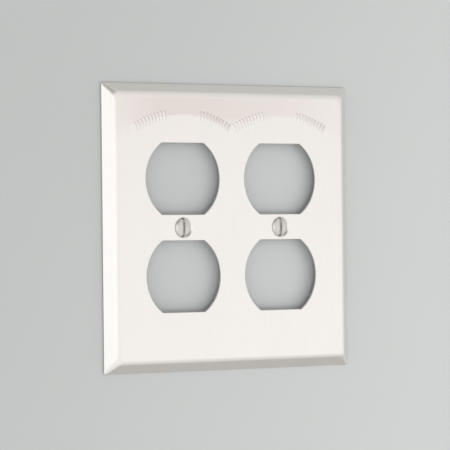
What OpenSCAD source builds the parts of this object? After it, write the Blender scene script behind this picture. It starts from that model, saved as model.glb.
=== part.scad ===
// Two-gang wall plate for duplex receptacles: one stamped stainless-steel sheet, and the two
// oval-head slotted screws that hold it to the devices behind it.
// The plate stands upright as on a wall: X is right, Z is up, and the face looks towards -Y.
// The back of the rim lies on the wall plane Y = 0, and the origin is the plate's centre there.
// Each screw is drawn seated; it leaves the plate along -Y.

/* [Plate] */
// Overall width
plate_w = 115.9; // [114:0.1:124]
// Overall height
plate_h = 114.3; // [112:0.1:124]
// Distance from the wall to the face
plate_depth = 4.2; // [3.8:0.1:5.6]
// Thickness of the sheet
sheet_t = 0.8; // [0.6:0.05:0.9]
// Slope of the rim, measured from the face
rim_angle = 42; // [38:1:50]
// Outside radius of the bend between face and rim
bend_r = 3.6; // [1.6:0.1:3.6]
// Height of the rim's trimmed edge, which is cut square to the sheet and leans in to the wall
rim_edge = 0.45; // [0.2:0.05:0.45]

/* [Device openings] */
// Distance between the two gangs
gang_spacing = 46.02; // [46:0.01:46.1]
// Distance between the two openings of a gang
opening_spacing = 38.7; // [38.5:0.1:39.3]
// Diameter of an opening's round sides
opening_d = 34.4; // [34.1:0.1:35.2]
// Height of an opening between its flat top and bottom
opening_h = 28.4; // [28.2:0.1:29.4]

/* [Screw dimples] */
// Diameter of a dimple where its cone would meet the face
dimple_d = 8.2; // [7.6:0.1:8.8]
// Diameter of the hole at the bottom of a dimple
hole_d = 5; // [4.4:0.1:5.4]
// Included angle of the dimple and of the screw head under it
cone_angle = 82; // [80:1:90]
// Radius of the rounded lip around a dimple
lip_r = 0.8; // [0.4:0.1:1]

/* [Embossed marks] */
// Marks on each side of the arc over a gang
marks = 10; // [2:1:10]
// Radius of the arc, about the gang's screw
mark_arc_r = 45.2; // [44:0.1:45.4]
// Angle from upright to the first mark
mark_first = 10.5; // [8:0.5:10.5]
// Angle from one mark to the next
mark_step = 2; // [1.2:0.1:2]
// Length of a mark
mark_len = 3.4; // [2:0.1:3.4]
// Width of a mark
mark_w = 0.7; // [0.4:0.05:0.7]
// How far a mark stands out of the face
mark_rise = 0.2; // [0.1:0.01:0.2]

/* [Screws] */
// Outside diameter of the thread
thread_d = 3.5; // [3.3:0.05:3.5]
// Length from the head's widest edge to the tip
screw_len = 12.7; // [8:0.1:25]
// Diameter of the head
head_d = 7; // [6.4:0.1:7.2]
// Height of the domed top over the head's edge
crown_h = 0.9; // [0.6:0.05:1.1]
// Width of the driver slot
slot_w = 1.2; // [0.9:0.05:1.3]
// Depth of the driver slot, from the top of the dome
slot_depth = 1.5; // [1:0.05:1.7]

/* [Hidden] */
$fn = 96;

steel = "Gainsboro";
screw_steel = "Silver";

// Cutters run past the surface they cut by this much
over = 1;
// A rounded corner meets the flats beside it at this small angle
blend = 4;

// Dimple: rise per unit of radius on its cone, and where the cone ends at the hole
cone_half = cone_angle / 2;
cone_rise = 1 / tan(cone_half);
dimple_r = dimple_d / 2;
hole_r = hole_d / 2;
dimple_foot = plate_depth - (dimple_r - hole_r) * cone_rise;

// Boss behind a dimple: the pressed sheet, thinned a little, with a narrow land at the hole
boss_wall = sheet_t - 0.1;
boss_land = 0.2;
boss_foot = dimple_foot - boss_wall / sin(cone_half) + boss_land * cone_rise;
boss_top = plate_depth - sheet_t / 2;

// Screw: gap between head and dimple, measured square to the cone
seat_gap = 0.02;
head_r = head_d / 2;
thread_r = thread_d / 2;
head_edge = 0.12;
head_h = (head_r - thread_r) * cone_rise;
head_seat = dimple_foot + (head_r - hole_r) * cone_rise + seat_gap / sin(cone_half);
crown_r = (head_r * head_r + crown_h * crown_h) / (2 * crown_h);
tip_chamfer = 0.5;

// Turns a shape drawn in X and Y and raised along Z so that it rises out of the wall
module off_wall() {
    rotate([90, 0, 0]) children();
}

// Material to take off a corner at the origin between a flat that ends there and a side that
// falls away at the given angle, leaving a rounding of radius r
module corner_waste(r, angle) {
    reach = 2 * r;
    translate([-r * tan(angle / 2), -r])
        difference() {
            polygon([
                [0, 0], [0, reach],
                [reach * sin(angle / 2), reach * cos(angle / 2)],
                [reach * sin(angle), reach * cos(angle)]
            ]);
            circle(r = r / cos(blend));
        }
}

// Filled cross-section of a tray that is 2 * foot_x wide at height foot_y: its sides fall at
// rim_angle from rounded corners of radius r, and run on from there to base_x at height base_y
module tray_section(foot_x, foot_y, base_x, base_y, top, r) {
    corner_x = foot_x - (top - foot_y) / tan(rim_angle);
    difference() {
        polygon([
            [-base_x, base_y], [-foot_x, foot_y], [-corner_x, top],
            [corner_x, top], [foot_x, foot_y], [base_x, base_y]
        ]);
        translate([corner_x, top]) corner_waste(r, rim_angle);
        mirror([1, 0]) translate([corner_x, top]) corner_waste(r, rim_angle);
    }
}

// Section of the outside of the sheet, for a plate of the given size across
module outer_section(size) {
    undercut = rim_edge * tan(rim_angle);
    tray_section(size / 2, rim_edge, size / 2 - undercut, 0, plate_depth, bend_r);
}

// Section of the hollow behind the sheet
module inner_section(size) {
    foot_x = size / 2 - sheet_t / sin(rim_angle) + rim_edge / tan(rim_angle);
    tray_section(foot_x, 0, foot_x, -over, plate_depth - sheet_t, bend_r - sheet_t);
}

// Runs a section drawn across the plate's width along its height, and the other way round
module along_height() {
    mirror([0, 1, 0]) linear_extrude(height = 2 * plate_h, center = true) children();
}

module along_width() {
    rotate([0, -90, 0]) mirror([0, 1, 0])
        linear_extrude(height = 2 * plate_w, center = true) children();
}

// The stamped sheet before it is pierced: two sections crossed, which mitres the rim's corners
module tray() {
    difference() {
        intersection() {
            along_height() outer_section(plate_w);
            along_width() outer_section(plate_h);
        }
        intersection() {
            along_height() inner_section(plate_w);
            along_width() inner_section(plate_h);
        }
    }
}

// A receptacle opening: a circle cut off flat at the top and bottom
module opening() {
    linear_extrude(height = plate_depth + over)
        intersection() {
            circle(d = opening_d);
            square([opening_d + over, opening_h], center = true);
        }
}

// Marks of one gang, as bars of the given height, about the gang's screw
module mark_bars(height) {
    for (side = [-1, 1], i = [0 : marks - 1])
        rotate([0, 0, side * (mark_first + i * mark_step)])
            translate([-mark_w / 2, mark_arc_r - mark_len / 2, 0])
                cube([mark_w, mark_len, height]);
}

// Sheet pressed back around a screw hole
module boss() {
    foot_r = hole_r + boss_land;
    translate([0, 0, boss_foot])
        cylinder(
            h = boss_top - boss_foot, r1 = foot_r,
            r2 = foot_r + (boss_top - boss_foot) / cone_rise
        );
}

// Everything inside a dimple: the hole, the cone and the rounded lip
module dimple_void() {
    rotate_extrude() {
        polygon([
            [0, 0], [hole_r, 0], [hole_r, dimple_foot],
            [dimple_r + over / cone_rise, plate_depth + over], [0, plate_depth + over]
        ]);
        translate([dimple_r, plate_depth]) mirror([1, 0]) corner_waste(lip_r, 90 - cone_half);
    }
}

module wall_plate() {
    color(steel)
        difference() {
            union() {
                tray();
                off_wall()
                    for (gang = [-1, 1]) translate([gang * gang_spacing / 2, 0, 0]) {
                        boss();
                        translate([0, 0, boss_top]) mark_bars(sheet_t / 2 + mark_rise);
                    }
            }
            off_wall()
                for (gang = [-1, 1]) translate([gang * gang_spacing / 2, 0, 0]) {
                    for (row = [-1, 1])
                        translate([0, row * opening_spacing / 2, 0]) opening();
                    dimple_void();
                    mark_bars(plate_depth - sheet_t + mark_rise);
                }
        }
}

// Oval-head screw about the Z axis, with the head's widest edge at height 0 and the tip below
module screw() {
    color(screw_steel)
        difference() {
            rotate_extrude() {
                polygon([
                    [0, -screw_len], [thread_r - tip_chamfer, -screw_len],
                    [thread_r, tip_chamfer - screw_len], [thread_r, -head_h],
                    [head_r, 0], [head_r, head_edge], [0, head_edge]
                ]);
                intersection() {
                    translate([0, head_edge + crown_h - crown_r]) circle(r = crown_r);
                    translate([0, head_edge]) square([crown_r, crown_r]);
                }
            }
            translate([-slot_w / 2, -head_d, head_edge + crown_h - slot_depth])
                cube([slot_w, 2 * head_d, slot_depth + over]);
        }
}

module left_screw() {
    translate([-gang_spacing / 2, 0, 0]) off_wall() translate([0, 0, head_seat]) screw();
}

module right_screw() {
    translate([gang_spacing / 2, 0, 0]) off_wall() translate([0, 0, head_seat]) screw();
}

wall_plate();
left_screw();
right_screw();
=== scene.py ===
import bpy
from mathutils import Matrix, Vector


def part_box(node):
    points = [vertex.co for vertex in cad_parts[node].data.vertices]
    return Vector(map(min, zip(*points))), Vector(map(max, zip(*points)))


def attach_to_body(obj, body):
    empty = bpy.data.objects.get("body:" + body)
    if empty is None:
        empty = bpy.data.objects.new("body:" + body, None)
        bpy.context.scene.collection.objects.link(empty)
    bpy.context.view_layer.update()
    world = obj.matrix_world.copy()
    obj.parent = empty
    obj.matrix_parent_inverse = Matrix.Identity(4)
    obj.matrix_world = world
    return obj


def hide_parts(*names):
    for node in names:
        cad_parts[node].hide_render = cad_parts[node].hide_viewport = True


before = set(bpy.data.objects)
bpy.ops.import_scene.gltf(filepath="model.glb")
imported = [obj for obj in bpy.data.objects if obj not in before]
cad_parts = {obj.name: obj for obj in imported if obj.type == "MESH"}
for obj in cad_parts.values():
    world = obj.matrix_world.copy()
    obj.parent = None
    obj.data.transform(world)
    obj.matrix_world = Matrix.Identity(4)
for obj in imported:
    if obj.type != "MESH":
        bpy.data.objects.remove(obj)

"""Looks of the two-gang duplex wall plate: a brushed stainless sheet on a plain grey wall, with its
two slotted oval-head screws seated. Sizes are in metres, in the CAD frame: X right, Z up, the wall is
the plane Y = 0 and the face looks towards -Y. Heights are distances out of the wall."""

import math

import bmesh
import bpy
from mathutils import Matrix, Vector

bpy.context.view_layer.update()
MM = 0.001

# ---- sizes of the sheet, the same as the CAD node's ---------------------------------------------
PLATE_LOW, PLATE_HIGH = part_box("wall_plate")
HALF_W, HALF_H = PLATE_HIGH.x, PLATE_HIGH.z
GANG_X = sum(corner.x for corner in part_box("right_screw")) / 2

MARK_RISE = 0.2 * MM                    # height of a mark over the face
FACE = -PLATE_LOW.y - MARK_RISE         # height of the face above the wall
SHEET = 0.8 * MM                        # thickness of the metal
BACK = FACE - SHEET                     # height of the hollow side of the face
RIM_ANGLE = math.radians(42)            # slope of the rim, from the face
BEND_R = 3.6 * MM                       # outside radius of the bend between face and rim
RIM_EDGE = 0.45 * MM                    # height of the trimmed edge, cut square to the slope
TRIM_INSET = RIM_EDGE * math.tan(RIM_ANGLE)

OPENING_R = 17.2 * MM
OPENING_HALF_H = 14.2 * MM
OPENING_Z = 19.35 * MM                  # an opening's centre, above or below the screws
OPENING_CORNER = 0.5 * MM
SIDE_STEPS, CORNER_STEPS = 40, 5        # segments of a round side and of a corner

CONE_HALF = math.radians(41)
CONE_RISE = 1 / math.tan(CONE_HALF)     # rise of the dimple's cone for each unit of radius
DIMPLE_R = 4.1 * MM                     # where the cone would meet the face
HOLE_R = 2.5 * MM
LIP_R = 0.8 * MM                        # rounding between the cone and the face
DIMPLE_FOOT = FACE - (DIMPLE_R - HOLE_R) * CONE_RISE
BOSS_WALL = SHEET - 0.1 * MM            # the metal behind the cone is pressed a little thinner
BOSS_LAND = 0.2 * MM
BOSS_FOOT = DIMPLE_FOOT - BOSS_WALL / math.sin(CONE_HALF) + BOSS_LAND * CONE_RISE

MARKS = 10                              # on each side of the arc over a gang
MARK_FIRST, MARK_STEP = math.radians(10.5), math.radians(2)
MARK_ARC_R = 45.2 * MM                  # about the gang's screw
MARK_HALF_LEN, MARK_HALF_W = 1.7 * MM, 0.35 * MM

# ---- small roundings that only the looks have ---------------------------------------------------
FOOT_R = 0.16 * MM                      # between the rim's slope and its trimmed edge
ARRIS_R = 0.04 * MM                     # at edges that are only deburred
CORNER_R = 0.5 * MM                     # plan radius of a rim corner at the trimmed edge
CORNER_FLARE = 0.6 * MM                 # height above that edge over which the radius grows fastest
CORNER_GROWTH = 0.42                    # growth of the radius with height, everywhere above the edge
INNER_CORNER_R = 0.35 * MM              # plan radius of the rim's corners on the hollow side
ROLLED_EDGE = 0.28 * MM                 # rounding that the punch leaves on the face side
BURR_EDGE = 0.05 * MM                   # rounding on the side where the punch comes out
CONE_EDGE = 0.08 * MM                   # between the dimple's cone and its hole
BOSS_BLEND = 0.3 * MM                   # between the boss and the back of the sheet
# A mark's flank, as distances out from its outline: its foot, its crest, and their rounding
MARK_FLANK = (0.16 * MM, -0.2 * MM, 0.1 * MM)
HOLLOW_FLANK = (0.06 * MM, -0.06 * MM, 0.06 * MM)
MARK_CAP = -0.3 * MM                    # the flat of a mark runs on to here, inside its outline
LEAD = 1 * MM                           # length of flat before and after a section, to aim its ends

# ---- small mesh kit -----------------------------------------------------------------------------
CORNER, BEND, FLAT = 1, 2, 3            # ranks: a vertex takes its normal from its flattest faces
POLISHED, SHEARED = 0, 1                # the sheet's two materials


def new_bm():
    bm = bmesh.new()
    bm.faces.layers.int.new("rank")
    return bm


def linked(name, data):
    """A new object with the given data, in the scene."""
    obj = bpy.data.objects.new(name, data)
    bpy.context.scene.collection.objects.link(obj)
    return obj


def to_mesh(bm, name):
    mesh = bpy.data.meshes.new(name)
    bm.to_mesh(mesh)
    bm.free()
    return mesh


def ring(bm, points, height):
    """A closed loop of vertices at the given plan points (x, z), that far out of the wall."""
    return [bm.verts.new((x, -height, z)) for x, z in points]


def skin(bm, a, b, rank, material):
    """Quads between two rings of equal length; rank is one rank or a list of them."""
    layer = bm.faces.layers.int["rank"]
    for i in range(len(a)):
        j = (i + 1) % len(a)
        face = bm.faces.new((a[i], a[j], b[j], b[i]))
        face.material_index = material
        face[layer] = rank[i] if isinstance(rank, list) else rank
        face.smooth = True


def loft(bm, rings, ranks, materials=None):
    for k in range(len(rings) - 1):
        skin(bm, rings[k], rings[k + 1], ranks[k], materials[k] if materials else POLISHED)


def section_ranks(profile):
    """Ranks of the bands between the samples of a section."""
    return [BEND if curved else FLAT for _, _, curved in profile[:-1]]


def fill_flat(bm, loops):
    """Fills the flat region between an outer loop and the loops inside it."""
    layer = bm.faces.layers.int["rank"]
    edges = []
    for loop in loops:
        for i, v in enumerate(loop):
            w = loop[(i + 1) % len(loop)]
            edges.append(bm.edges.get((v, w)) or bm.edges.new((v, w)))
    made = bmesh.ops.triangle_fill(bm, use_beauty=True, use_dissolve=False, edges=edges)
    for face in made["geom"]:
        if isinstance(face, bmesh.types.BMFace):
            face[layer] = FLAT
            face.smooth = True
            face.material_index = POLISHED


def fillet(points, steps=6):
    """Rounds a polyline's inner corners. points are (u, v, radius), radius 0 for a point to pass
    through; returns (u, v, on_arc) samples, on_arc telling that the stretch after it is curved."""
    out = [(points[0][0], points[0][1], False)]
    for k in range(1, len(points) - 1):
        p, radius = Vector(points[k][:2]), points[k][2]
        if not radius:
            out.append((p.x, p.y, False))
            continue
        before = (Vector(points[k - 1][:2]) - p).normalized()
        after = (Vector(points[k + 1][:2]) - p).normalized()
        opening = before.angle(after)
        reach = radius / math.tan(opening / 2)
        centre = p + (before + after).normalized() * (radius / math.sin(opening / 2))
        start, end = p + before * reach - centre, p + after * reach - centre
        turn = start.angle_signed(end)
        for i in range(steps + 1):
            q = centre + Matrix.Rotation(-turn * i / steps, 2) @ start
            out.append((q.x, q.y, i < steps))
    out.append((points[-1][0], points[-1][1], False))
    return out


def finish_mesh(bm, name, materials=()):
    """Makes the object, with each vertex normal averaged over the flattest faces round it."""
    bmesh.ops.recalc_face_normals(bm, faces=bm.faces)
    bm.normal_update()
    layer = bm.faces.layers.int["rank"]
    normals = []
    for v in bm.verts:
        best = max(face[layer] for face in v.link_faces)
        total = Vector((0, 0, 0))
        for loop in v.link_loops:
            if loop.face[layer] == best:
                total += loop.face.normal * loop.calc_angle()
        normals.append(total.normalized())
    mesh = to_mesh(bm, name)
    for material in materials:
        mesh.materials.append(material)
    mesh.normals_split_custom_set_from_vertices(normals)
    return linked(name, mesh)


# ---- outlines in plan ---------------------------------------------------------------------------
def arc(cx, cz, radius, start, end, steps):
    angles = [start + (end - start) * i / steps for i in range(steps + 1)]
    return [(cx + radius * math.cos(a), cz + radius * math.sin(a)) for a in angles]


def rounded_rectangle(half_w, half_h, radius, steps=8):
    out = []
    for k, (sx, sz) in enumerate(((1, 1), (-1, 1), (-1, -1), (1, -1))):
        out += arc(sx * (half_w - radius), sz * (half_h - radius), radius,
                   k * math.pi / 2, (k + 1) * math.pi / 2, steps)
    return out


def opening_outline(cx, cz, grow):
    """A duplex opening: round sides, flat top and bottom, small rounded corners."""
    inner_r, inner_h = OPENING_R - OPENING_CORNER, OPENING_HALF_H - OPENING_CORNER
    corner_x = math.sqrt(inner_r ** 2 - inner_h ** 2)
    tilt = math.atan2(inner_h, corner_x)
    round_r, corner_r = OPENING_R + grow, OPENING_CORNER + grow
    out = []
    for s, side in ((1, 0), (-1, math.pi)):
        upright = side + math.pi / 2
        out += arc(cx, cz, round_r, side - tilt, side + tilt, SIDE_STEPS)
        out += arc(cx + s * corner_x, cz + s * inner_h, corner_r,
                   side + tilt, upright, CORNER_STEPS)[1:]
        out += arc(cx - s * corner_x, cz + s * inner_h, corner_r,
                   upright, side + math.pi - tilt, CORNER_STEPS)[:-1]
    return out


def circle_outline(cx, cz, radius, steps=72):
    return arc(cx, cz, radius, 0, 2 * math.pi, steps)[:-1]


def mark_outline(cx, angle, grow):
    """A bar with round ends that points at a gang's screw."""
    radius = MARK_HALF_W + grow
    reach = MARK_HALF_LEN - MARK_HALF_W
    out = []
    for s, start in ((1, 0), (-1, math.pi)):
        out += arc(0, MARK_ARC_R + s * reach, radius, start, start + math.pi, 6)
    turn = Matrix.Rotation(angle, 2)
    return [(cx + (turn @ Vector(p)).x, (turn @ Vector(p)).y) for p in out]


# ---- the sheet ----------------------------------------------------------------------------------
def corner_radius(height):
    """Plan radius of the rim's corners: trimmed almost sharp at the foot, pressed rounder above it."""
    rise = max(0.0, height - RIM_EDGE)
    return CORNER_R + min(rise, CORNER_FLARE) + CORNER_GROWTH * rise


def rim_profile():
    """(inset, height, on_arc) from the face over the bend and rim, round the trimmed edge, to the
    back of the sheet."""
    tangent = math.tan(RIM_ANGLE)
    run = (FACE - RIM_EDGE) / tangent
    shift = SHEET / math.sin(RIM_ANGLE) - RIM_EDGE / tangent
    inner_run = shift + BACK / tangent
    far = inner_run + LEAD
    return fillet([
        (far, FACE, 0), (run, FACE, BEND_R), (CORNER_FLARE / tangent, RIM_EDGE + CORNER_FLARE, 0),
        (0, RIM_EDGE, FOOT_R), (TRIM_INSET, 0, ARRIS_R), (shift, 0, ARRIS_R),
        (inner_run, BACK, BEND_R - SHEET), (far, BACK, 0)], steps=10)[1:-1]


def rim_rings(bm):
    """The sheet's edge, as rings whose corners are ranked below the flats beside them."""
    profile = rim_profile()
    half_way = len(profile) / 2         # the samples before it are on the outside
    rings, ranks, materials = [], [], []
    for k, (inset, height, curved) in enumerate(profile):
        radius = corner_radius(height) if k < half_way else INNER_CORNER_R
        outline = rounded_rectangle(HALF_W - inset, HALF_H - inset, radius)
        rings.append(ring(bm, outline, height))
        straight = BEND if curved else FLAT
        per_corner = len(outline) // 4
        ranks.append([straight if i % per_corner == per_corner - 1 else CORNER
                      for i in range(len(outline))])
        trimmed = height < RIM_EDGE and inset < TRIM_INSET
        materials.append(SHEARED if trimmed else POLISHED)
    loft(bm, rings, ranks, materials)
    return rings[0], rings[-1]


def opening_rings(bm, cx, cz):
    """Walls of an opening; the straight part of the wall is the sheared one."""
    profile = fillet([
        (LEAD, FACE, 0), (0, FACE, ROLLED_EDGE), (0, BACK, BURR_EDGE), (LEAD, BACK, 0)])[1:-1]
    rings = [ring(bm, opening_outline(cx, cz, grow), height) for grow, height, _ in profile]
    drops = [a[1] - b[1] for a, b in zip(profile, profile[1:])]
    materials = [SHEARED if drop == max(drops) else POLISHED for drop in drops]
    loft(bm, rings, section_ranks(profile), materials)
    return rings[0], rings[-1]


def dimple_rings(bm, cx):
    """A dimple: its lip, cone and hole, and the boss behind it."""
    boss_r = HOLE_R + BOSS_LAND
    back_r = boss_r + (BACK - BOSS_FOOT) / CONE_RISE
    profile = fillet([
        (DIMPLE_R + LEAD, FACE, 0), (DIMPLE_R, FACE, LIP_R), (HOLE_R, DIMPLE_FOOT, CONE_EDGE),
        (HOLE_R, BOSS_FOOT, ARRIS_R), (boss_r, BOSS_FOOT, ARRIS_R),
        (back_r, BACK, BOSS_BLEND), (back_r + LEAD, BACK, 0)])[1:-1]
    rings = [ring(bm, circle_outline(cx, 0, radius), height) for radius, height, _ in profile]
    loft(bm, rings, section_ranks(profile))
    return rings[0], rings[-1]


def mark_rings(bm, cx, angle):
    """A mark raised on the face, and its hollow on the back."""
    ends = []
    for base, (foot, crest, rounding) in ((FACE, MARK_FLANK), (BACK, HOLLOW_FLANK)):
        top = base + MARK_RISE
        profile = fillet([(LEAD, base, 0), (foot, base, rounding), (crest, top, rounding),
                          (MARK_CAP, top, 0)], steps=3)[1:-1]
        rings = [ring(bm, mark_outline(cx, angle, grow), height) for grow, height, _ in profile]
        loft(bm, rings, section_ranks(profile))
        cap = bm.faces.new(rings[-1])
        cap.smooth = True
        cap[bm.faces.layers.int["rank"]] = FLAT
        ends.append(rings[0])
    return ends


def build_sheet(materials):
    """The stamped sheet, as one closed surface."""
    bm = new_bm()
    borders = [rim_rings(bm)]
    for gang in (-1, 1):
        cx = gang * GANG_X
        for row in (-1, 1):
            borders.append(opening_rings(bm, cx, row * OPENING_Z))
        borders.append(dimple_rings(bm, cx))
        for side in (-1, 1):
            for i in range(MARKS):
                borders.append(mark_rings(bm, cx, side * (MARK_FIRST + i * MARK_STEP)))
    fill_flat(bm, [front for front, back in borders])
    fill_flat(bm, [back for front, back in borders])
    return finish_mesh(bm, "plate_sheet", materials)


# ---- the screws ---------------------------------------------------------------------------------
SCREW_LEN = 12.7 * MM                   # from the head's widest edge to the tip
THREAD_R, THREAD_DEPTH = 1.75 * MM, 0.46 * MM
PITCH = 25.4 / 32 * MM                  # 32 turns to the inch
THREAD_CREST, THREAD_FLANK = 0.12, 0.66     # shares of half a pitch; the root takes the rest
TIP_START, TIP_TAPER = 0.12 * PITCH, 0.9 * PITCH
RUN_OUT = 0.8 * PITCH                   # length in which the thread fades under the head
HEAD_R, HEAD_EDGE, CROWN_H = 3.5 * MM, 0.12 * MM, 0.9 * MM
HEAD_H = (HEAD_R - THREAD_R) * CONE_RISE
SEAT_GAP = 0.02 * MM                    # between head and dimple, square to the cone
HEAD_SEAT = DIMPLE_FOOT + (HEAD_R - HOLE_R) * CONE_RISE + SEAT_GAP / math.sin(CONE_HALF)
CROWN_R = (HEAD_R ** 2 + CROWN_H ** 2) / (2 * CROWN_H)
CROWN_TOP = HEAD_SEAT + HEAD_EDGE + CROWN_H
NECK = 0.15 * MM                        # the head runs this far down into the shank
OVERLAP = 0.2 * MM                      # the shank runs this far up into the head
NECK_R, EDGE_R = 0.1 * MM, 0.05 * MM    # roundings of the neck and of the head's widest edge
CROWN_FOOT = (0.3 * MM, 0.14 * MM)      # where the dome begins, in from the edge and up from it
SLOT_W, SLOT_DEPTH = 1.2 * MM, 1.5 * MM
SLOT_CORNER = 0.08 * MM                 # chamfer in the slot's inside corners
SLOT_CUTTER_H = 3 * MM
EDGE_BREAK, BREAK_OVER = 0.06 * MM, math.radians(40)    # bevel of the head's sharper edges
SMOOTH_UNDER = math.radians(38)         # edges that turn less than this are shaded smooth
SAME_POINT = 0.0001 * MM                # vertices nearer than this are one
ROUND_STEPS, THREAD_ROWS, CROWN_STEPS = 72, 260, 12


def thread_radius(along, turn):
    """Radius of a right-hand 60 degree thread, with flat crests and roots, tapered at the tip."""
    phase = (along / PITCH + turn) % 1.0
    saw = abs(2 * phase - 1)
    depth = min(max((saw - THREAD_CREST) / THREAD_FLANK, 0.0), 1.0)
    lead = min(1.0, (along + TIP_START) / TIP_TAPER)
    fade = min(1.0, max(0.0, (SCREW_LEN - HEAD_H - along) / RUN_OUT))
    return THREAD_R - THREAD_DEPTH + THREAD_DEPTH * (1 - depth) * lead * fade ** 0.5


def cap_ring(bm, loop, height, cx):
    """Closes a ring about the screw's axis with a fan of triangles."""
    layer = bm.faces.layers.int["rank"]
    tip = bm.verts.new((cx, -height, 0))
    for i in range(len(loop)):
        face = bm.faces.new((loop[i], loop[(i + 1) % len(loop)], tip))
        face.smooth = True
        face[layer] = BEND


def build_shank(cx):
    """The threaded shank, as a turned surface whose radius follows the thread's helix."""
    bm = new_bm()
    tip = HEAD_SEAT - SCREW_LEN
    length = SCREW_LEN - HEAD_H + OVERLAP
    heights = [tip + length * i / THREAD_ROWS for i in range(THREAD_ROWS + 1)]
    rings = []
    for height in heights:
        radii = [thread_radius(height - tip, i / ROUND_STEPS) for i in range(ROUND_STEPS)]
        angles = [2 * math.pi * i / ROUND_STEPS for i in range(ROUND_STEPS)]
        points = [(cx + r * math.cos(a), r * math.sin(a)) for r, a in zip(radii, angles)]
        rings.append(ring(bm, points, height))
    loft(bm, rings, [BEND] * THREAD_ROWS)
    cap_ring(bm, rings[0], heights[0], cx)
    cap_ring(bm, rings[-1], heights[-1], cx)
    return finish_mesh(bm, "shank")


def head_profile():
    """(radius, height over the head's edge) from the neck up over the dome."""
    inward, upward = CROWN_FOOT
    rim = fillet([
        (THREAD_R - THREAD_DEPTH, -HEAD_H - NECK, 0), (THREAD_R, -HEAD_H, NECK_R),
        (HEAD_R, 0, EDGE_R), (HEAD_R, HEAD_EDGE, EDGE_R),
        (HEAD_R - inward, HEAD_EDGE + upward, 0)], steps=3)[:-1]
    start = math.asin(rim[-1][0] / CROWN_R)
    tilts = [start * (1 - i / CROWN_STEPS) for i in range(1, CROWN_STEPS)]
    dome = [(CROWN_R * math.sin(t), HEAD_EDGE + CROWN_H - CROWN_R * (1 - math.cos(t))) for t in tilts]
    return [(radius, height) for radius, height, _ in rim] + dome


def build_head(cx):
    """The oval head with its driver slot."""
    bm = new_bm()
    profile = head_profile()
    rings = [ring(bm, circle_outline(cx, 0, radius, ROUND_STEPS), HEAD_SEAT + height)
             for radius, height in profile]
    loft(bm, rings, [BEND] * (len(rings) - 1))
    cap_ring(bm, rings[0], HEAD_SEAT + profile[0][1], cx)
    cap_ring(bm, rings[-1], CROWN_TOP, cx)
    return cut_slot(finish_mesh(bm, "head"), cx)


def slot_cutter(cx):
    """A bar across the head, with small corners where it cuts the slot's floor."""
    bm = bmesh.new()
    floor = CROWN_TOP - SLOT_DEPTH
    top = floor + SLOT_CUTTER_H
    half, reach = SLOT_W / 2, 2 * HEAD_R
    section = [(-half, top), (-half, floor + SLOT_CORNER), (-half + SLOT_CORNER, floor),
               (half - SLOT_CORNER, floor), (half, floor + SLOT_CORNER), (half, top)]
    ends = [[bm.verts.new((cx + x, -height, z)) for x, height in section] for z in (-reach, reach)]
    for i in range(len(section)):
        j = (i + 1) % len(section)
        bm.faces.new((ends[0][i], ends[0][j], ends[1][j], ends[1][i]))
    bm.faces.new(ends[0])
    bm.faces.new(ends[1])
    bmesh.ops.recalc_face_normals(bm, faces=bm.faces)
    return linked("slot_cutter", to_mesh(bm, "slot_cutter"))


def add_boolean(obj, operation, other):
    boolean = obj.modifiers.new(operation.lower(), "BOOLEAN")
    boolean.operation = operation
    boolean.solver = "EXACT"
    boolean.object = other


def baked(obj, name):
    """A copy of the object with its modifiers applied."""
    bpy.context.view_layer.update()
    graph = bpy.context.evaluated_depsgraph_get()
    return linked(name, bpy.data.meshes.new_from_object(obj.evaluated_get(graph)))


def cut_slot(head, cx):
    """Mills the driver slot and breaks its edges."""
    cutter = slot_cutter(cx)
    add_boolean(head, "DIFFERENCE", cutter)
    bevel = head.modifiers.new("edges", "BEVEL")
    bevel.width = EDGE_BREAK
    bevel.segments = 2
    bevel.limit_method = "ANGLE"
    bevel.angle_limit = BREAK_OVER
    bevel.use_clamp_overlap = True
    done = baked(head, "head_cut")
    bpy.data.objects.remove(cutter)
    bpy.data.objects.remove(head)
    return done


def welded(shank, head):
    """Shank and head as one closed surface, with nothing left inside where they overlap."""
    add_boolean(shank, "UNION", head)
    whole = baked(shank, "whole")
    bpy.data.objects.remove(shank)
    bpy.data.objects.remove(head)
    return whole


def polished(raw, name, material):
    """The raw screw with smooth shading up to its sharp edges."""
    bm = bmesh.new()
    bm.from_mesh(raw.data)
    bpy.data.objects.remove(raw)
    bmesh.ops.remove_doubles(bm, verts=bm.verts, dist=SAME_POINT)
    for face in bm.faces:
        face.smooth = True
        face.material_index = POLISHED
    mesh = to_mesh(bm, name)
    mesh.materials.append(material)
    mesh.set_sharp_from_angle(angle=SMOOTH_UNDER)
    return linked(name, mesh)


def build_screw(side, gang):
    cx = gang * GANG_X
    whole = welded(build_shank(cx), build_head(cx))
    return polished(whole, side + "_screw_turned", turned_steel(side, cx))


# ---- material kit -------------------------------------------------------------------------------
def add(tree, kind, inputs=None, **props):
    """A node with the given properties; each input is a value, or an output to link to."""
    node = tree.nodes.new(kind)
    for key, value in props.items():
        setattr(node, key, value)
    for key, value in (inputs or {}).items():
        if isinstance(value, bpy.types.NodeSocket):
            tree.links.new(value, node.inputs[key])
        else:
            node.inputs[key].default_value = value
    return node


def maths(tree, kind, a, b=0.0):
    return add(tree, "ShaderNodeMath", {0: a, 1: b}, operation=kind).outputs[0]


def vector_maths(tree, kind, a, b=(0, 0, 0)):
    node = add(tree, "ShaderNodeVectorMath", {0: a, 1: b}, operation=kind)
    return node.outputs["Value" if kind in ("DOT_PRODUCT", "LENGTH") else "Vector"]


def soft_step(tree, value, low, high, start, end):
    """Goes smoothly from start to end while the value goes from low to high."""
    return add(tree, "ShaderNodeMapRange", {
        "Value": value, "From Min": low, "From Max": high, "To Min": start, "To Max": end},
        interpolation_type="SMOOTHSTEP").outputs["Result"]


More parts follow.
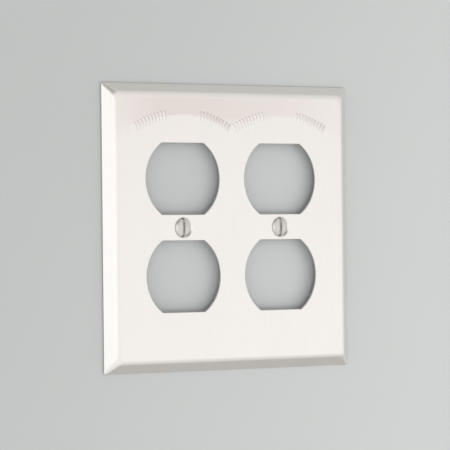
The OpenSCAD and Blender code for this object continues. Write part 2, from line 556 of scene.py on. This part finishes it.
def ramp(tree, noise, low, high):
    """Spreads a noise, which stays mostly between a quarter and three quarters, over low to high."""
    return add(tree, "ShaderNodeMapRange", {
        "Value": noise, "From Min": 0.25, "From Max": 0.75, "To Min": low, "To Max": high
    }).outputs["Result"]


def place(tree):
    """The shaded point in the part's own axes."""
    return add(tree, "ShaderNodeTexCoord").outputs["Object"]


def stretched_noise(tree, scale, detail):
    """Noise with its own scale along each axis, in features per metre."""
    grown = vector_maths(tree, "MULTIPLY", place(tree), scale)
    return add(tree, "ShaderNodeTexNoise", {
        "Vector": grown, "Scale": 1.0, "Detail": detail, "Roughness": 0.55}).outputs["Fac"]


def mixed(tree, fac, a, b):
    """Colour a where fac is 0 and b where it is 1."""
    node = add(tree, "ShaderNodeMix", data_type="RGBA")
    for key, value in (("Factor", fac), ("A", a), ("B", b)):
        if isinstance(value, bpy.types.NodeSocket):
            tree.links.new(value, node.inputs[key])
        else:
            node.inputs[key].default_value = value
    return node.outputs["Result"]


def relief(tree, height, strength, depth):
    """Normals of a fine relief; depth is its height in metres at full strength."""
    return add(tree, "ShaderNodeBump", {
        "Height": height, "Strength": strength, "Distance": depth}).outputs[0]


def metal(tree, tone, rough, normal, **more):
    return add(tree, "ShaderNodeBsdfPrincipled", {
        "Base Color": tone, "Metallic": 1.0, "Roughness": rough, "Normal": normal, **more})


def node_material(name, build):
    """A material whose surface is the shader that build(tree) returns."""
    material = bpy.data.materials.new(name)
    material.use_nodes = True
    tree = material.node_tree
    tree.nodes.clear()
    out = tree.nodes.new("ShaderNodeOutputMaterial")
    tree.links.new(build(tree).outputs[0], out.inputs[0])
    return material


# ---- materials ----------------------------------------------------------------------------------
SHEET_TONES = (0.815, 0.80, 0.785, 1), (0.855, 0.842, 0.828, 1)
PAINTED_SHADE_TONE = (0.757, 0.708, 0.687, 1)    # painted shade: colour of the darker, warmer strip over the marks
EDGE_TONES = (0.62, 0.60, 0.58, 1), (0.76, 0.74, 0.72, 1)
SCREW_TONES = (0.58, 0.57, 0.55, 1), (0.72, 0.71, 0.69, 1)
WALL_TONES = (0.522, 0.547, 0.549, 1), (0.547, 0.572, 0.575, 1)
FLOOR_TONES = (0.825, 0.785, 0.755, 1), (0.855, 0.815, 0.785, 1)
PAINTED_LIGHT_RISE = (0.95, 0, -0.31)            # painted light: the wall's colour gets lighter this way, towards the lower right
PAINTED_LIGHT_REACH = 0.13                       # as far as this from the middle, in metres
PAINTED_LIGHT_DIM, PAINTED_LIGHT_BRIGHT = 0.92, 1.05

# Painted shade: a darker, warmer strip over the marks, standing in for the face reflecting less light
# there. Its low edge runs
# along their arc: it starts inside the arc and is full outside it, further out where the two arcs meet
# and in the wings beside them
STRIP_START, STRIP_FULL, CUSP_FULL, WING_MORE = -1.2 * MM, 0.2 * MM, 5 * MM, 7 * MM
CUSP_NEAR, CUSP_FAR = 1 * MM, 7 * MM    # from the plate's middle
WING_NEAR, WING_FAR = 42 * MM, 50 * MM
# It fades to both sides of its own middle, once more to the right, and where the bend begins
STRIP_X, STRIP_NEAR, STRIP_FAR, STRIP_LEAST = -4 * MM, 26 * MM, 60 * MM, 0.15
RIGHT_FROM, RIGHT_TO, RIGHT_LEAST = -20 * MM, 30 * MM, 0.62
TOP_FROM, TOP_TO = HALF_H - 6.4 * MM, HALF_H - 4.2 * MM
STRIP_ABOVE = 0.4 * HALF_H


def painted_shade_over_marks(tree):
    """How much painted shade there is in the strip over the marks. It is only on the face, not on the
    sheet's back.
    """
    axes = add(tree, "ShaderNodeSeparateXYZ", {0: place(tree)})
    x, y, z = (axes.outputs[name] for name in "XYZ")
    across = maths(tree, "ABSOLUTE", x)
    from_gang = maths(tree, "ABSOLUTE", maths(tree, "SUBTRACT", across, GANG_X))
    radius = maths(tree, "SQRT", maths(tree, "ADD", maths(tree, "POWER", from_gang, 2.0),
                                       maths(tree, "POWER", maths(tree, "ABSOLUTE", z), 2.0)))
    cusp = soft_step(tree, across, CUSP_NEAR, CUSP_FAR, MARK_ARC_R + CUSP_FULL, MARK_ARC_R + STRIP_FULL)
    wing = soft_step(tree, across, WING_NEAR, WING_FAR, 0.0, WING_MORE)
    full = maths(tree, "ADD", cusp, wing)
    shade = soft_step(tree, radius, MARK_ARC_R + STRIP_START, full, 0.0, 1.0)
    off_middle = maths(tree, "ABSOLUTE", maths(tree, "SUBTRACT", x, STRIP_X))
    for mask in (
            soft_step(tree, off_middle, STRIP_NEAR, STRIP_FAR, 1.0, STRIP_LEAST),
            soft_step(tree, x, RIGHT_FROM, RIGHT_TO, 1.0, RIGHT_LEAST),
            soft_step(tree, z, TOP_FROM, TOP_TO, 1.0, 0.0),
            maths(tree, "GREATER_THAN", z, STRIP_ABOVE),
            maths(tree, "LESS_THAN", y, SHEET / 2 - FACE)):
        shade = maths(tree, "MULTIPLY", shade, mask)
    return shade


def brushed_stainless(tree):
    """Satin stainless steel: a fine upright grain with broader lines in it, faint haze, and a painted
    shade over the arcs of marks.
    """
    grain = stretched_noise(tree, (7000, 7000, 130), 4)
    broad = stretched_noise(tree, (1300, 1300, 22), 3)
    haze = stretched_noise(tree, (34, 34, 21), 3)
    tone = mixed(tree, ramp(tree, grain, 0.0, 1.0), *SHEET_TONES)
    # painted shade: the strip over the marks is darkened and warmed in the base colour
    tone = mixed(tree, painted_shade_over_marks(tree), tone, PAINTED_SHADE_TONE)
    lines = relief(tree, maths(tree, "ADD", grain, broad), 0.075, 0.02 * MM)
    across_grain = add(tree, "ShaderNodeCombineXYZ", {"X": 1.0}).outputs[0]
    return metal(tree, tone, ramp(tree, haze, 0.28, 0.33), lines,
                 Anisotropic=0.55, Tangent=across_grain)


def sheared_edge(tree):
    """A sheared wall, scored across the sheet by the punch, with a finely torn surface."""
    drag = stretched_noise(tree, (5200, 900, 5200), 3)
    torn = stretched_noise(tree, (3000, 3000, 3000), 4)
    tone = mixed(tree, drag, *EDGE_TONES)
    return metal(tree, tone, ramp(tree, drag, 0.34, 0.5), relief(tree, torn, 0.35, 0.03 * MM))


def turned_steel(side, cx):
    """Bright screw steel with fine turning rings about the screw's axis."""
    def build(tree):
        centred = vector_maths(tree, "ADD", place(tree), (-cx, 0, 0))
        flat = vector_maths(tree, "MULTIPLY", centred, (1, 0, 1))
        rings = add(tree, "ShaderNodeTexNoise", {
            "W": vector_maths(tree, "LENGTH", flat), "Scale": 9000.0, "Detail": 3.0},
            noise_dimensions="1D").outputs["Fac"]
        patches = stretched_noise(tree, (420, 420, 420), 3)
        tone = mixed(tree, patches, *SCREW_TONES)
        return metal(tree, tone, ramp(tree, patches, 0.2, 0.32), relief(tree, rings, 0.25, 0.02 * MM))
    return node_material("turned_steel_" + side, build)


def camera_behind(tree):
    """1 where the camera is behind the wall plane, 0 where it is in front."""
    inward = add(tree, "ShaderNodeVectorTransform", {0: (0, 1, 0)}, vector_type="VECTOR",
                 convert_from="WORLD", convert_to="CAMERA").outputs[0]
    from_camera = add(tree, "ShaderNodeTexCoord").outputs["Camera"]
    return maths(tree, "LESS_THAN", vector_maths(tree, "DOT_PRODUCT", from_camera, inward), 0.0)


def wall_paint(tree):
    """Plain grey wall paint, with painted light: its colour is darker towards the upper left and lighter
    towards the lower right. The wall shows nothing at all when the camera is behind it.
    """
    mottle = stretched_noise(tree, (9, 9, 9), 2)
    # painted light: a broad gradient in the colour, darker at the upper left and lighter at the lower
    # right
    along = vector_maths(tree, "DOT_PRODUCT", place(tree), PAINTED_LIGHT_RISE)
    level = soft_step(tree, along, -PAINTED_LIGHT_REACH, PAINTED_LIGHT_REACH, PAINTED_LIGHT_DIM, PAINTED_LIGHT_BRIGHT)
    tone = vector_maths(tree, "MULTIPLY", mixed(tree, mottle, *WALL_TONES), level)
    stipple = stretched_noise(tree, (900, 900, 900), 2)
    paint = add(tree, "ShaderNodeBsdfPrincipled", {
        "Base Color": tone, "Roughness": 0.75, "Normal": relief(tree, stipple, 0.05, 0.05 * MM)})
    clear = add(tree, "ShaderNodeBsdfTransparent")
    return add(tree, "ShaderNodeMixShader", {
        0: camera_behind(tree), 1: paint.outputs[0], 2: clear.outputs[0]})


def floor_paint(tree):
    """Matt off-white with a faint mottle."""
    tone = mixed(tree, stretched_noise(tree, (3, 3, 3), 2), *FLOOR_TONES)
    return add(tree, "ShaderNodeBsdfPrincipled", {"Base Color": tone, "Roughness": 0.8})


# ---- stage, light and camera --------------------------------------------------------------------
WALL_Y = 0.2 * MM                       # the wall stands just behind the plate's resting flat
STAGE_HALF_W, STAGE_DEPTH, STAGE_LOW, STAGE_HIGH = 3.0, 0.35, -1.2, 2.0

# The tent of light: where it is brightest (degrees), and its strength behind and in front
TENT_AZ, TENT_EL, TENT_BACK, TENT_FRONT = -25, 2, 0.40, 1.03
TENT_SPREAD = 0.75                      # cosine to the brightest direction where the front strength ends
TENT_LEVEL, TENT_TOP = (1.0, 0.965, 0.943, 1), (0.925, 0.915, 0.872, 1)
TENT_TOP_FROM, TENT_TOP_TO = 0.3, 0.8   # sine of the elevation where the top's colour starts and is full
# A dim gap in it: where it is, the angles of its edge and core, and how much it dims
GAP_AZ, GAP_EL, GAP_EDGE, GAP_CORE, GAP_DIM = -24, 52, 34, 18, 0.6
# name, azimuth, elevation, distance, width, height, radiance, tint, seen in reflections
SOFTBOXES = (
    ("front_right", 45, -10, 1.2, 0.9, 0.64, 0.17, (1.0, 1.04, 1.03), True),
    ("upper_right", 60, 50, 1.2, 0.62, 0.5, 0.15, (1.0, 0.99, 0.93), True),
    ("left", -42, -2, 1.2, 1.5, 0.72, 0.24, (0.84, 1.0, 1.07), True),
    ("right", 78, -3, 0.9, 0.6, 0.9, 0.28, (1.0, 1.0, 0.98), True),
    ("low_right", 50, -10, 0.45, 0.3, 0.16, 1.3, (1.0, 1.0, 1.0), False),
    ("low_left", -22, -18, 1.0, 0.22, 0.2, 8.0, (1.0, 1.0, 1.0), False),
)

CAMERA_AZ, CAMERA_EL, CAMERA_DISTANCE = -32.51, -0.15, 1.0925
CAMERA_TARGET, CAMERA_ROLL = Vector((-0.0007, 0.0004, 0.0009)), math.radians(-0.61)
LENS, SENSOR = 217.5, 36.0              # millimetres


def heading(azimuth, elevation):
    """Unit vector out of the wall, turned right by the azimuth and up by the elevation (degrees)."""
    a, e = math.radians(azimuth), math.radians(elevation)
    return Vector((math.sin(a) * math.cos(e), -math.cos(a) * math.cos(e), math.sin(e)))


def stage_sheet(name, corners, build):
    mesh = bpy.data.meshes.new(name)
    mesh.from_pydata(corners, [], [tuple(range(len(corners)))])
    mesh.materials.append(node_material(name + "_paint", build))
    linked(name, mesh)


def build_stage():
    """A wall just behind the plate and a floor far below it."""
    ends = (-STAGE_HALF_W, STAGE_HALF_W)
    stage_sheet("wall", [(x, WALL_Y, STAGE_LOW) for x in ends]
                + [(x, WALL_Y, STAGE_HIGH) for x in reversed(ends)], wall_paint)
    stage_sheet("floor", [(ends[0], WALL_Y, STAGE_LOW)] + [(x, -STAGE_DEPTH, STAGE_LOW) for x in ends]
                + [(ends[1], WALL_Y, STAGE_LOW)], floor_paint)


def softbox(name, azimuth, elevation, distance, width, height, radiance, tint, reflected):
    """A rectangular soft light that faces the plate from the given direction."""
    light = bpy.data.lights.new(name, "AREA")
    light.shape = "RECTANGLE"
    light.size = width
    light.size_y = height
    light.energy = radiance * math.pi * width * height
    light.color = tint
    back = heading(azimuth, elevation)
    obj = linked(name, light)
    obj.location = back * distance
    obj.rotation_mode = "QUATERNION"
    obj.rotation_quaternion = (-back).to_track_quat("-Z", "Y")
    obj.visible_camera = False
    obj.visible_glossy = reflected


def build_tent():
    """Soft light from all round, brightest in front and a little left, with a dim gap above the
    camera and a yellower top."""
    world = bpy.data.worlds.new("tent")
    world.use_nodes = True
    tree = world.node_tree
    tree.nodes.clear()
    direction = add(tree, "ShaderNodeTexCoord").outputs["Generated"]
    to_bright = vector_maths(tree, "DOT_PRODUCT", direction, heading(TENT_AZ, TENT_EL))
    to_gap = vector_maths(tree, "DOT_PRODUCT", direction, heading(GAP_AZ, GAP_EL))
    level = soft_step(tree, to_bright, -TENT_SPREAD, TENT_SPREAD, TENT_BACK, TENT_FRONT)
    edge, core = math.cos(math.radians(GAP_EDGE)), math.cos(math.radians(GAP_CORE))
    gap = soft_step(tree, to_gap, edge, core, 1.0, 1 - GAP_DIM)
    rise = add(tree, "ShaderNodeSeparateXYZ", {0: direction}).outputs["Z"]
    top = add(tree, "ShaderNodeMapRange", {
        "Value": rise, "From Min": TENT_TOP_FROM, "From Max": TENT_TOP_TO}).outputs["Result"]
    sky = add(tree, "ShaderNodeBackground", {
        "Color": mixed(tree, top, TENT_LEVEL, TENT_TOP), "Strength": maths(tree, "MULTIPLY", level, gap)})
    out = add(tree, "ShaderNodeOutputWorld")
    tree.links.new(sky.outputs[0], out.inputs[0])
    bpy.context.scene.world = world


def build_camera():
    """A long lens that looks at the plate from its left, almost level."""
    data = bpy.data.cameras.new("camera")
    data.lens = LENS
    data.sensor_width = SENSOR
    data.clip_start = 0.05
    data.clip_end = 20.0
    camera = linked("camera", data)
    camera.location = heading(CAMERA_AZ, CAMERA_EL) * CAMERA_DISTANCE
    aim = (CAMERA_TARGET - camera.location).to_track_quat("-Z", "Y")
    camera.rotation_mode = "QUATERNION"
    camera.rotation_quaternion = aim @ Matrix.Rotation(CAMERA_ROLL, 3, "Z").to_quaternion()
    bpy.context.scene.camera = camera


def attach(piece, body, node):
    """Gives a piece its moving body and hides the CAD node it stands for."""
    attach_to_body(piece, body)
    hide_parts(node)


def main():
    sheet = build_sheet([
        node_material("brushed_stainless", brushed_stainless),
        node_material("sheared_edge", sheared_edge)])
    attach(sheet, "plate", "wall_plate")
    for side, gang in (("left", -1), ("right", 1)):
        attach(build_screw(side, gang), side + "_screw", side + "_screw")
    build_stage()
    build_tent()
    for settings in SOFTBOXES:
        softbox(*settings)
    build_camera()
    bpy.context.scene.view_settings.view_transform = "Standard"


main()
